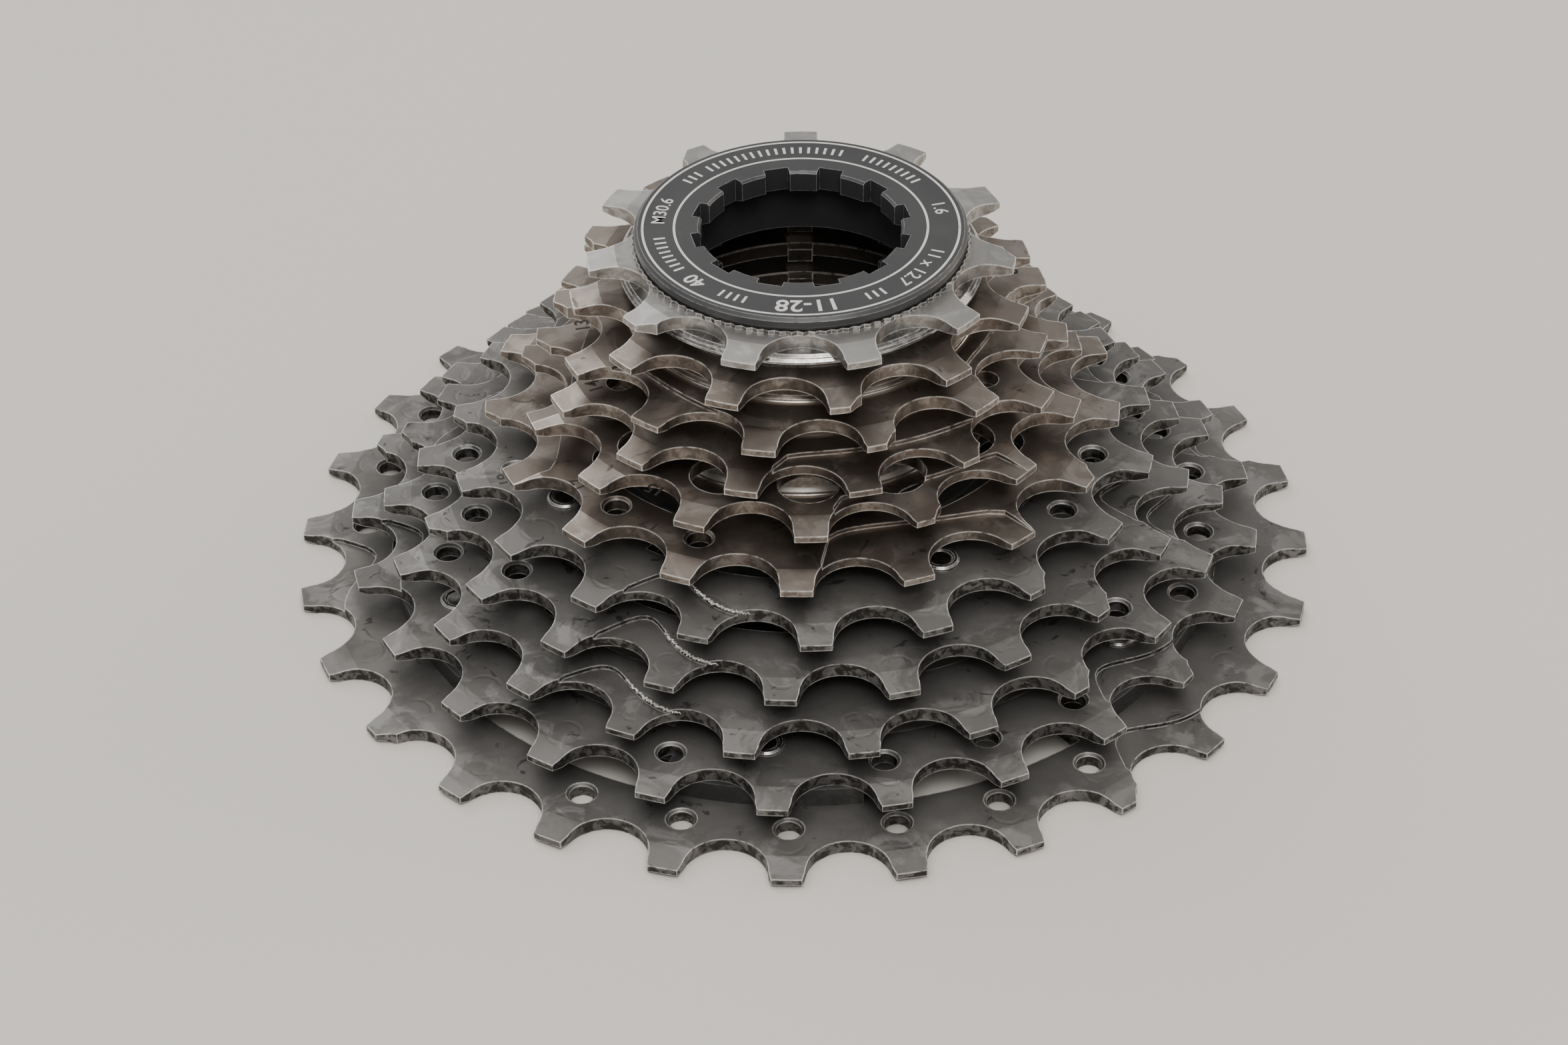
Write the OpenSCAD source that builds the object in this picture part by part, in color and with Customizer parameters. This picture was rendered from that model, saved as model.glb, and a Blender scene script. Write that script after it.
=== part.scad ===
// Eleven-speed road cassette, 11 to 28 teeth, standing on its back face.
// Origin: centre of the back face. +Z is the axis, towards the lock ring.

/* [Chain] */
// Chain pitch
chain_pitch = 12.7; // [12.5:0.05:12.9]
// Radius of the gap between two teeth
gap_r = 4.5; // [3.9:0.1:5.2]
// How far a tooth stands above the pitch circle
addendum = 0.6; // [0.4:0.05:1.2]
// Angle between a tooth's flank and the gap's middle line
flank_angle = 20; // [14:1:24]

/* [Stack] */
// Thickness of every sprocket
sprocket_t = 1.6; // [1.2:0.1:1.9]
// Gap between two sprockets
spacing = 2.35; // [2:0.05:2.8]
// Wall of the loose spacers
spacer_wall = 1.25; // [0.9:0.05:1.5]
// Wall of the polished spacer under the smallest sprocket
collar_wall = 2.05; // [1.7:0.05:2.6]

/* [Freehub spline] */
// Radius of the spline's outer wall in the bore
hub_r = 17.5; // [17:0.05:17.7]
// How far the tabs reach in from that wall
tab_depth = 1.2; // [0.9:0.05:1.5]
// The same for the two smallest sprockets, whose tabs clear the lock ring
short_tab_depth = 0.7; // [0.5:0.05:0.8]
// Width of a tab
tab_w = 4.2; // [3.2:0.1:4.6]
// Width of the one narrow tab that keys the order of the pieces
key_tab_w = 2.8; // [2:0.1:3.2]
// How many tabs the bore has
tab_count = 9; // [6:1:10]

/* [Titanium units] */
// Arms of the spider that carries the three largest sprockets
big_arms = 6; // [5:1:7]
// Arms of the spider that carries the next two
small_arms = 4; // [3:1:5]
// Half the angle that an arm spans
arm_half = 13; // [9:1:15]
// Wall of the spider hubs
spider_wall = 4.5; // [3:0.5:6]
// Depth of metal between the tooth roots and the ring's inner edge
ring_depth = 5.4; // [4.6:0.1:6]
// How far a ring reaches further in over an arm, where its rivets are in sight
seat_depth = 3; // [2.6:0.1:3.4]
// The same for a ring whose rivets the ring above it hides
deep_seat = 4.9; // [4.6:0.1:5.2]
// Radius of a rivet's shank
rivet_r = 1.3; // [1:0.05:1.5]
// Radius of a rivet's head
rivet_head_r = 1.95; // [1.7:0.05:2.2]
// Height of a rivet's head
rivet_head_h = 0.5; // [0.3:0.05:0.55]

/* [Lock ring] */
// How far the flange reaches out past the bore's wall
flange_over = 0.4; // [0.2:0.05:0.6]
// Thickness of the flange
lock_t = 1.35; // [1:0.05:2]
// How far the thread stands in from the bore's wall
thread_inset = 2.2; // [2:0.05:2.5]
// Gap between the end of the threaded sleeve and the long tabs below it
thread_stop = 1; // [0.5:0.1:3]
// Thickness of metal from the thread in to the lands of the tool socket
socket_wall = 4.5; // [4:0.05:5]
// Depth of the socket's notches
notch_depth = 1; // [0.6:0.05:1.2]
// Width of a notch
notch_w = 2.7; // [2:0.05:3.2]
// How many notches the socket has
notch_count = 12; // [8:1:14]
// Depth of the socket
socket_len = 2.4; // [1.6:0.1:4]
// Thickness of the serrated washer
washer_t = 0.5; // [0.4:0.05:0.9]
// How far the washer reaches out past the flange
washer_over = 0.35; // [0.2:0.05:0.9]
// How many serrations the washer's rim has
serrations = 96; // [60:1:110]

/* [Hidden] */
$fn = 96;

titanium = [0.36, 0.355, 0.35];
nickel = [0.6, 0.55, 0.49];
bright_nickel = [0.72, 0.71, 0.69];
black = [0.07, 0.07, 0.075];
dark_chrome = [0.2, 0.2, 0.21];
rivet_steel = [0.5, 0.5, 0.5];

// Tooth counts from the back of the stack to the front.
teeth = [28, 25, 23, 21, 19, 17, 15, 14, 13, 12, 11];
// Angle of the tooth nearest the front, from the -Y axis.
timing = [-2.4, -4.2, 7, -3.7, 1.4, -1.6, 1.1, 12.5, -10.1, 10.2, 15.8];
level = sprocket_t + spacing;
fit_gap = 0.05;
spacer_play = 0.15;
cut = 1;

// Everything round the freehub takes its radius from the bore.
tab_r = hub_r - tab_depth;
short_tab_r = hub_r - short_tab_depth;
spider_hub_r = hub_r + spider_wall;
spacer_in_r = hub_r + spacer_play;
spacer_r = spacer_in_r + spacer_wall;
collar_r = spacer_in_r + collar_wall;
lock_r = hub_r + flange_over;
washer_r = lock_r + washer_over;
thread_r = hub_r - thread_inset;
socket_r = thread_r - socket_wall;

// Pitch, tip and root radius of a sprocket, its height in the stack and its first tooth's angle.
function pitch_r(n) = chain_pitch / 2 / sin(180 / n);
function tip_r(n) = pitch_r(n) + addendum;
function root_r(n) = pitch_r(n) - gap_r;
function place(n) = search(n, teeth)[0];
function base_z(n) = place(n) * level;
function top_z(n) = base_z(n) + sprocket_t;
function tooth_a(n, i) = -90 + timing[place(n)] + i * 360 / n;

// Ring of a titanium sprocket: inner edge between arms, inner edge at an arm, rivet circle.
function ring_r(n) = root_r(n) - ring_depth;
function hides_rivets(n) = n == 28 || n == 23 || n == 21;
function seat_r(n) = ring_r(n) - (hides_rivets(n) ? deep_seat : seat_depth);
// How far a rivet stands in from the ring's edge: deep under the next ring, less under the last one of
// the base unit, and out on the ring itself where it is in sight.
deep_rivet = 2.5;
last_rivet = 1.9;
seen_rivet = -0.9;
function rivet_in(n) = n == 23 ? last_rivet : hides_rivets(n) ? deep_rivet : seen_rivet;
function rivet_circle(n) = ring_r(n) - rivet_in(n);

// Tooth bevels: how far in from the tip they start, and how deep they are at the tip.
bevel_len = 3.1;
bevel_drop = 0.45;
back_bevel_len = 1.5;
back_bevel_drop = 0.4;

// Angle of the first arm of each spider, and how much wider than its arm a ring's seat is, either side.
big_arm_a = -96;
small_arm_a = -151;
wide_seat = 3;
narrow_seat = 1;
long_seat = 12;
// The hidden rivet of the lower ring stands beside the visible one, its head clear of the other's shank.
rivet_gap = 0.1;
lower_rivet_turn = 2 * asin((rivet_r + rivet_head_r + rivet_gap) / 2 / rivet_circle(19));

// Round holes under the teeth: radius, depth of the broken edge, and how far in from the pitch circle.
hole_r = 1.35;
hole_sink = 0.3;
hole_over = 0.1;
function hole_in(n) = lookup(n, [[17, 5.8], [19, 5.9], [21, 4.9], [23, 5.3], [25, 5.9], [28, 6.6]]);

module at_teeth(n, list) {
    for (i = list) rotate(tooth_a(n, i)) children();
}

// The space between two teeth: a round seat for the roller, cut wider by two straight flanks.
// A flank leaves the seat at a small corner, flank_step short of the tangent.
flank_step = 12;
module tooth_gap(n) {
    foot_a = flank_angle - flank_step;
    foot = pitch_r(n) - gap_r * sin(foot_a);
    slope = tan(flank_angle);
    out = tip_r(n) + cut;
    in_half = gap_r * cos(foot_a) - cut * slope;
    out_half = gap_r * cos(foot_a) + (out - foot) * slope;
    translate([pitch_r(n), 0]) circle(gap_r);
    polygon([[foot - cut, -in_half], [out, -out_half], [out, out_half], [foot - cut, in_half]]);
}

// A gate tooth is thinned on one flank so that the chain can climb past it.
gate_foot = [-1.5, 2.4];
gate_knee = [-0.6, 1.3];
gate_tip = -0.45;
gate_far = 3.5;
module gate_cut(n) {
    p = [pitch_r(n), 0];
    t = tip_r(n) + cut;
    polygon([p + gate_foot, p + gate_knee, [t, gate_tip], [t, gate_far], [p[0], gate_far]]);
}

// Outline of the teeth, with the bore left closed.
module tooth_outline(n, gates) {
    difference() {
        circle(tip_r(n));
        for (i = [0 : n - 1]) rotate(tooth_a(n, i + 0.5)) tooth_gap(n);
        at_teeth(n, gates) gate_cut(n);
    }
}

// A turned blank: flat faces, with a long bevel in front of the teeth and a short one behind.
module blank(n) {
    t = tip_r(n);
    rotate_extrude() polygon([
        [0, 0], [t - back_bevel_len, 0], [t, back_bevel_drop],
        [t, sprocket_t - bevel_drop], [t - bevel_len, sprocket_t], [0, sprocket_t]
    ]);
}

module toothed_disc(n, gates) {
    intersection() {
        linear_extrude(sprocket_t) tooth_outline(n, gates);
        blank(n);
    }
}

// Round hole under a tooth, with its front edge broken.
module tooth_hole(n) {
    sink = hole_sink + hole_over;
    translate([pitch_r(n) - hole_in(n), 0, 0]) {
        translate([0, 0, -cut]) cylinder(r = hole_r, h = sprocket_t + 2 * cut);
        translate([0, 0, sprocket_t - hole_sink]) cylinder(r1 = hole_r, r2 = hole_r + sink, h = sink);
    }
}

// Shift ramp: a shallow pocket that starts beside one tooth and runs on for some pitches.
// Its inner edge swings in quickly and out slowly; a low taper keeps it flat, a high one makes it swoop.
ramp_steps = 18;
ramp_depth = 0.5;
ramp_start = 0.22;
ramp_rim = 0.8;
ramp_sides = 4;
// Taper of the ramps on the nickel sprockets.
flat_taper = 0.6;
// Outlines that only have to clear a round edge stand this much outside it.
clear = 1.03;
function ramp_edge(n, u, reach, taper) = root_r(n) + ramp_rim - reach * pow(sin(180 * sqrt(u)), taper);
module ramp(n, tooth, reach, pitches = 1.24, taper = 2.4) {
    a0 = tooth_a(n, tooth + ramp_start);
    span = pitches * 360 / n;
    out = tip_r(n) + cut;
    inner = [for (k = [0 : ramp_steps])
        let (u = k / ramp_steps, a = a0 + span * u)
        ramp_edge(n, u, reach, taper) * [cos(a), sin(a)]];
    outer = [for (k = [ramp_sides : -1 : 0])
        let (a = a0 + span * k / ramp_sides) clear * out * [cos(a), sin(a)]];
    translate([0, 0, sprocket_t - ramp_depth]) linear_extrude(cut) polygon(concat(inner, outer));
}

// Part of a disc between two angles either side of +X.
module wedge(r, half) {
    far = clear * r / cos(half);
    polygon([[0, 0], far * [cos(half), -sin(half)], [clear * far, 0], far * [cos(half), sin(half)]]);
}
module sector(r, half) {
    intersection() {
        circle(r);
        wedge(r, half);
    }
}
module at_arms(count, first) {
    for (i = [0 : count - 1]) rotate(first + i * 360 / count) children();
}

// The bore that the freehub passes through: round wall with tabs, one of them narrow.
tab_over = 2;
module bore_outline(reach) {
    difference() {
        circle(hub_r);
        for (i = [0 : tab_count - 1]) rotate(90 + i * 360 / tab_count) difference() {
            w = i == 0 ? key_tab_w : tab_w;
            translate([reach - tab_over, -w / 2]) square([hub_r - reach + 2 * tab_over, w]);
            circle(reach);
        }
    }
}
module bore(height, reach = tab_r) {
    translate([0, 0, -cut]) linear_extrude(height + 2 * cut) bore_outline(reach);
}

// Rivet: pan head with a dished face above, flush head below.
head_round = 0.2;
head_rim = 0.35;
dish = 0.2;
module rivet(z_low, z_seat) {
    top = z_seat + rivet_head_h;
    foot = z_low + rivet_head_h;
    rim_r = rivet_head_r - head_round;
    dish_r = rim_r - head_rim;
    rotate_extrude() polygon([
        [0, z_low], [rivet_head_r, z_low], [rivet_head_r, foot], [rivet_r, foot],
        [rivet_r, z_seat], [rivet_head_r, z_seat], [rivet_head_r, top - head_round], [rim_r, top],
        [dish_r, top], [dish_r - dish, top - dish], [0, top - dish]
    ]);
}
// The hole for that rivet, with a sunk seat for its lower head.
module rivet_hole(z_low, z_seat) {
    translate([0, 0, z_low - cut]) cylinder(r = rivet_r, h = z_seat - z_low + 2 * cut);
    translate([0, 0, z_low - cut]) cylinder(r = rivet_head_r, h = rivet_head_h + cut);
}

// Titanium ring: teeth outside, open between the arms, seats over the arms.
module ring_body(n, gates, count, first, seat_half) {
    difference() {
        toothed_disc(n, gates);
        translate([0, 0, -cut]) linear_extrude(sprocket_t + 2 * cut) difference() {
            circle(ring_r(n));
            at_arms(count, first) difference() {
                sector(ring_r(n) + cut, seat_half);
                circle(seat_r(n));
            }
        }
    }
}

// ---- Three largest sprockets, the base unit ----
flush = 0.1;
under_low = flush;
arm_seat = sprocket_t;
seat_28 = base_z(25) - rivet_head_h - flush;

module sprocket_28() {
    color(titanium) difference() {
        ring_body(28, [3, 10, 17, 24], big_arms, big_arm_a, arm_half + wide_seat);
        at_teeth(28, [each [-12 : -7], each [-2 : 3], 10, 11, 12]) tooth_hole(28);
        for (k = [-11, -7, 3, 8]) ramp(28, k, 4.3);
        at_arms(big_arms, big_arm_a + lower_rivet_turn)
            translate([rivet_circle(28), 0, 0]) rivet_hole(under_low, sprocket_t);
    }
}
module sprocket_25() {
    color(titanium) translate([0, 0, base_z(25)]) difference() {
        ring_body(25, [4, 11, 18], big_arms, big_arm_a, arm_half + narrow_seat);
        at_teeth(25, [-10, -8, -7, -1, 1, 2, 3, 5, 6, 7, 9, 10, 11]) tooth_hole(25);
        for (k = [-6, 3, 7, 11]) ramp(25, k, 3.8);
        at_arms(big_arms, big_arm_a) translate([rivet_circle(25), 0, -cut])
            cylinder(r = rivet_r, h = sprocket_t + 2 * cut);
    }
}
module sprocket_23() {
    color(titanium) translate([0, 0, base_z(23)]) difference() {
        ring_body(23, [2, 9, 16], big_arms, big_arm_a, arm_half + wide_seat);
        at_teeth(23, [-10, -9, -6, -5, 3, 6, 7, 10, 11]) tooth_hole(23);
        for (k = [-8, -3, 4, 8]) ramp(23, k, 3.9);
        at_arms(big_arms, big_arm_a) translate([rivet_circle(23), 0, -cut])
            cylinder(r = rivet_r, h = sprocket_t + 2 * cut);
    }
}

// Windows between the arms of a spider, cut through its turned body.
web = 3;
module spider_windows(count, first, height) {
    half = 180 / count - arm_half;
    translate([0, 0, -cut]) linear_extrude(height + 2 * cut)
        at_arms(count, first + 180 / count) difference() {
            sector(pitch_r(28), half);
            circle(spider_hub_r + web);
        }
}

// Turned body in steps: each step carries the back of one ring and centres the ring above it.
module large_spider() {
    color(black) difference() {
        rotate_extrude() polygon([
            [0, 0], [spider_hub_r, 0], [spider_hub_r, sprocket_t], [ring_r(28) - fit_gap, sprocket_t],
            [ring_r(28) - fit_gap, base_z(25)], [seat_r(25) - fit_gap, base_z(25)],
            [seat_r(25) - fit_gap, base_z(23)], [seat_r(23) - fit_gap, base_z(23)],
            [seat_r(23) - fit_gap, top_z(23)], [spider_hub_r, top_z(23)],
            [spider_hub_r, base_z(21)], [0, base_z(21)]
        ]);
        spider_windows(big_arms, big_arm_a, top_z(23));
        bore(base_z(21));
        at_arms(big_arms, big_arm_a + lower_rivet_turn) translate([rivet_circle(28), 0, 0]) {
            cylinder(r = rivet_r, h = base_z(25) + cut);
            translate([0, 0, seat_28]) cylinder(r = rivet_head_r + fit_gap, h = level);
        }
        at_arms(big_arms, big_arm_a) translate([rivet_circle(25), 0, 0])
            rivet_hole(arm_seat + flush, base_z(25));
        at_arms(big_arms, big_arm_a) translate([rivet_circle(23), 0, 0])
            rivet_hole(arm_seat + flush, base_z(23));
    }
}
module rivets_28() {
    color(rivet_steel) at_arms(big_arms, big_arm_a + lower_rivet_turn)
        translate([rivet_circle(28), 0, 0]) rivet(under_low, seat_28);
}
module rivets_25() {
    color(rivet_steel) at_arms(big_arms, big_arm_a)
        translate([rivet_circle(25), 0, 0]) rivet(arm_seat + flush, top_z(25));
}
module rivets_23() {
    color(rivet_steel) at_arms(big_arms, big_arm_a)
        translate([rivet_circle(23), 0, 0]) rivet(arm_seat + flush, top_z(23));
}

// ---- Next two sprockets, the upper unit ----
seat_21 = base_z(19) - rivet_head_h - flush;

module sprocket_21() {
    color(titanium) translate([0, 0, base_z(21)]) difference() {
        ring_body(21, [3, 10, 17], small_arms, small_arm_a, arm_half + long_seat);
        at_teeth(21, [-10, -9, -5, -4, -3, 6, 7, 10]) tooth_hole(21);
        for (k = [-7, -2, 4, 8]) ramp(21, k, 4.9);
        at_arms(small_arms, small_arm_a + lower_rivet_turn)
            translate([rivet_circle(21), 0, 0]) rivet_hole(under_low, sprocket_t);
    }
}
module sprocket_19() {
    color(titanium) translate([0, 0, base_z(19)]) difference() {
        ring_body(19, [2, 8, 14], small_arms, small_arm_a, arm_half + long_seat);
        at_teeth(19, [-6, -5, -4, 3, 4, 8, 9]) tooth_hole(19);
        for (k = [-8, -2, 5]) ramp(19, k, 4.2);
        at_arms(small_arms, small_arm_a) translate([rivet_circle(19), 0, -cut])
            cylinder(r = rivet_r, h = sprocket_t + 2 * cut);
    }
}
// The arms stop this much below the front of the hub.
arm_low = 0.2;
module small_spider() {
    low = base_z(21);
    tall = top_z(19) - low;
    color(black) translate([0, 0, low]) difference() {
        rotate_extrude() polygon([
            [0, 0], [spider_hub_r, 0], [spider_hub_r, sprocket_t], [ring_r(21) - fit_gap, sprocket_t],
            [ring_r(21) - fit_gap, level], [seat_r(19) - fit_gap, level],
            [seat_r(19) - fit_gap, tall - arm_low], [spider_hub_r, tall - arm_low],
            [spider_hub_r, tall], [0, tall]
        ]);
        spider_windows(small_arms, small_arm_a, tall - cut);
        bore(tall);
        at_arms(small_arms, small_arm_a + lower_rivet_turn) translate([rivet_circle(21), 0, 0]) {
            cylinder(r = rivet_r, h = level + cut);
            translate([0, 0, seat_21 - low]) cylinder(r = rivet_head_r + fit_gap, h = level);
        }
        at_arms(small_arms, small_arm_a) translate([rivet_circle(19), 0, 0])
            rivet_hole(sprocket_t + flush, level);
    }
}
module rivets_21() {
    color(rivet_steel) at_arms(small_arms, small_arm_a + lower_rivet_turn)
        translate([rivet_circle(21), 0, 0]) rivet(base_z(21) + under_low, seat_21);
}
module rivets_19() {
    color(rivet_steel) at_arms(small_arms, small_arm_a)
        translate([rivet_circle(19), 0, 0]) rivet(top_z(21) + flush, top_z(19));
}

// ---- Loose sprockets and spacers ----
lip = 0.35;
// Outer radii of the spacers, which shrink towards the front with the sprockets above them.
function spacer_out(n) = spacer_r + (n == 17 ? 1 : n == 15 ? 0.4 : n == 12 ? 0.1 : 0);

// Spacer ring with a broken edge at each face, so that a bright line shows beside the sprocket.
module spacer(n) {
    h = spacing;
    r = spacer_out(n);
    translate([0, 0, base_z(n) - h]) rotate_extrude() polygon([
        [spacer_in_r, 0], [r, 0], [r, lip], [r - lip, 2 * lip],
        [r - lip, h - lip], [r - 2 * lip, h], [spacer_in_r, h]
    ]);
}
module spacer_17() {
    color(black) spacer(17);
}
module spacer_15() {
    color(black) spacer(15);
}
module spacer_14() {
    color(black) spacer(14);
}
module spacer_13() {
    color(nickel) spacer(13);
}

// Crescent window between two radii, with round ends.
windows = 4;
window_a = -132;
window_half = 17;
window_in = 2.4;
window_out = 3.9;
module crescent(r0, r1, half) {
    mid = (r0 + r1) / 2;
    translate([0, 0, -cut]) linear_extrude(sprocket_t + 2 * cut) {
        difference() {
            sector(r1, half);
            circle(r0);
        }
        for (s = [-1, 1]) rotate(s * half) translate([mid, 0]) circle((r1 - r0) / 2);
    }
}
module sprocket_17() {
    color(nickel) translate([0, 0, base_z(17)]) difference() {
        toothed_disc(17, [3, 8, 13]);
        bore(sprocket_t);
        at_teeth(17, [-2, -1, 4, 5, 10, 11]) tooth_hole(17);
        for (k = [0 : windows - 1]) rotate(window_a + k * 360 / windows)
            crescent(spacer_r + window_in, root_r(17) - window_out, window_half);
        for (k = [0, 6, 12]) ramp(17, k, 5.4, 1.9, flat_taper);
    }
}
big_hole_r = 3.3;
module sprocket_15() {
    color(nickel) translate([0, 0, base_z(15)]) difference() {
        toothed_disc(15, [1, 6, 11]);
        bore(sprocket_t);
        at_teeth(15, [0 : 14])
            translate([spacer_out(15) + big_hole_r, 0, -cut])
            cylinder(r = big_hole_r, h = sprocket_t + 2 * cut);
        for (k = [0, 5, 10]) ramp(15, k, 2.2, 1.8, flat_taper);
    }
}
small_hole_r = 1.5;
small_hole_in = 2.8;
module sprocket_14() {
    color(nickel) translate([0, 0, base_z(14)]) difference() {
        toothed_disc(14, [1, 6, 10]);
        bore(sprocket_t);
        at_teeth(14, [-3, 2, 7]) translate([spacer_r + small_hole_in, 0, -cut])
            cylinder(r = small_hole_r, h = sprocket_t + 2 * cut);
        for (k = [-1, 4, 8]) ramp(14, k, 2.6, 2.2, flat_taper);
    }
}
module sprocket_13() {
    color(nickel) translate([0, 0, base_z(13)]) difference() {
        toothed_disc(13, [1, 5, 10]);
        bore(sprocket_t);
        for (k = [2, 7, 11]) ramp(13, k, 1.9, 1.5, flat_taper);
    }
}
// The twelve-tooth sprocket has its spacer made in one with it.
module sprocket_12() {
    color(nickel) difference() {
        union() {
            translate([0, 0, base_z(12)]) toothed_disc(12, [0, 4, 8]);
            spacer(12);
        }
        translate([0, 0, top_z(13)]) bore(level, short_tab_r);
    }
}
// The polished spacer: a plain neck under a flange with a bead and a groove round its rim.
collar_step = 1.5;
collar_profile = [
    [-0.35, -1.25], [0, -0.95], [0, -0.7], [-0.25, -0.45], [-0.25, -0.3], [-0.5, 0]
];
flange_h = 1.35;
module spacer_11() {
    neck_r = collar_r - collar_step;
    rim = [for (p = collar_profile) [collar_r, spacing] + p];
    color(dark_chrome) translate([0, 0, base_z(11) - spacing]) rotate_extrude() polygon(concat(
        [[spacer_in_r, 0], [neck_r, 0], [neck_r, spacing - flange_h]], rim, [[spacer_in_r, spacing]]
    ));
}
module sprocket_11() {
    color(bright_nickel) translate([0, 0, base_z(11)]) difference() {
        toothed_disc(11, [2, 6, 9]);
        bore(sprocket_t, short_tab_r);
    }
}

// ---- Lock ring and its washer ----
washer_z = top_z(11);
lock_z = washer_z + washer_t;
lock_bevel = 0.35;
under_bevel = [0.15, 0.3];
mouth_bevel = 0.25;
sleeve_wall = 1.9;
sleeve_bevel = 0.5;
// The socket's floor slopes into the sleeve; its notches run on a little below that.
floor_drop = 1;
notch_drop = 2;
first_notch_a = -107;
serration_depth = 0.22;
washer_play = 0.3;

module lock_washer() {
    color(dark_chrome) translate([0, 0, washer_z]) linear_extrude(washer_t) difference() {
        polygon([for (k = [0 : 2 * serrations - 1])
            let (a = k * 180 / serrations)
            (washer_r - (k % 2) * serration_depth) * [cos(a), sin(a)]]);
        circle(thread_r + washer_play);
    }
}
module lock_ring() {
    top = lock_z + lock_t;
    low = top_z(13) + thread_stop;
    socket_low = top - socket_len;
    in_r = thread_r - sleeve_wall;
    notch_low = socket_low - notch_drop;
    color(black) difference() {
        rotate_extrude() polygon([
            [socket_r, socket_low], [in_r, socket_low - floor_drop], [in_r, low],
            [thread_r - sleeve_bevel, low], [thread_r, low + sleeve_bevel], [thread_r, lock_z],
            [lock_r - under_bevel[0], lock_z], [lock_r, lock_z + under_bevel[1]],
            [lock_r, top - lock_bevel], [lock_r - lock_bevel, top],
            [socket_r + mouth_bevel, top], [socket_r, top - mouth_bevel]
        ]);
        for (k = [0 : notch_count - 1]) rotate(first_notch_a + k * 360 / notch_count)
            translate([0, -notch_w / 2, notch_low])
            cube([socket_r + notch_depth, notch_w, top - notch_low + cut]);
    }
}

large_spider();
sprocket_28();
sprocket_25();
sprocket_23();
rivets_28();
rivets_25();
rivets_23();
small_spider();
sprocket_21();
sprocket_19();
rivets_21();
rivets_19();
spacer_17();
sprocket_17();
spacer_15();
sprocket_15();
spacer_14();
sprocket_14();
spacer_13();
sprocket_13();
sprocket_12();
spacer_11();
sprocket_11();
lock_washer();
lock_ring();
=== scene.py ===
import bpy
import math
import random
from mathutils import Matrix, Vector


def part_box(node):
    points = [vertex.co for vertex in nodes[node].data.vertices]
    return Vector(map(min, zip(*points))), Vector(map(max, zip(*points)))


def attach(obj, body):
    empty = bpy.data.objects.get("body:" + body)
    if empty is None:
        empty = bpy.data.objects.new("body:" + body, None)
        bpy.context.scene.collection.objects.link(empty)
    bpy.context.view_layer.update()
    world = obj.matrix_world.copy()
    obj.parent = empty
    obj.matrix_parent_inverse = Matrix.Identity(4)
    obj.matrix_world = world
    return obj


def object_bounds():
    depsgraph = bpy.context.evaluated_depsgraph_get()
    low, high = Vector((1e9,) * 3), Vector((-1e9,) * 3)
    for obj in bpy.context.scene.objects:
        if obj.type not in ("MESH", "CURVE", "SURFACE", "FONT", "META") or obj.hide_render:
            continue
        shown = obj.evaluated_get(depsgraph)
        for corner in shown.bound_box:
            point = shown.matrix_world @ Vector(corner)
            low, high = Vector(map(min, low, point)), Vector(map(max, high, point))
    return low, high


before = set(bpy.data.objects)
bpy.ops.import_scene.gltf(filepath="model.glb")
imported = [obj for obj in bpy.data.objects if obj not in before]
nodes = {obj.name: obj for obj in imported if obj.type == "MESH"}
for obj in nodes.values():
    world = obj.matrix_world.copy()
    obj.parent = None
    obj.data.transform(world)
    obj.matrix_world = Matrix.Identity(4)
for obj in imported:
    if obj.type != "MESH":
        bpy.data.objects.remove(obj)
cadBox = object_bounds()
mm = 0.001
print("frame loaded,", len(nodes), "nodes")


# camera, floor and lights

view = {
    "place": (-0.00220, -0.31236, 0.24377),
    "lens": 79.32,       # on a 36 mm wide sensor
    "tiltDown": 37.65,   # degrees below level
    "roll": -0.70,
}


def addCamera(settings):
    data = bpy.data.cameras.new("view")
    data.lens = settings["lens"]
    data.sensor_width = 36
    camera = bpy.data.objects.new("view", data)
    camera.location = settings["place"]
    camera.rotation_mode = "ZYX"  # the roll comes first, about the camera's own line of sight
    camera.rotation_euler = (math.radians(90 - settings["tiltDown"]), 0, math.radians(settings["roll"]))
    bpy.context.scene.collection.objects.link(camera)
    bpy.context.scene.camera = camera


studio = {
    "floorSize": 6.0,
    "floorColour": (0.66, 0.63, 0.59, 1),
    "floorRoughness": 0.75,
    "worldColour": (1.0, 0.985, 0.96, 1),
    "worldStrength": 0.50,
    "aim": (0, 0, 0.02),
    # name: place, size, watts, colour
    "lights": {
        "window": ((-1.0, 1.3, 1.15), 1.5, 12.0, (1.0, 0.985, 0.96)),
        "overhead": ((-0.10, -0.25, 1.7), 2.0, 19.0, (1.0, 0.98, 0.95)),
        "front": ((0.2, -1.1, 1.6), 0.9, 12.0, (1.0, 0.97, 0.93)),
        "warmSide": ((1.2, 0.55, 0.55), 0.7, 3.0, (1.0, 0.87, 0.74)),
    },
}


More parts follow.
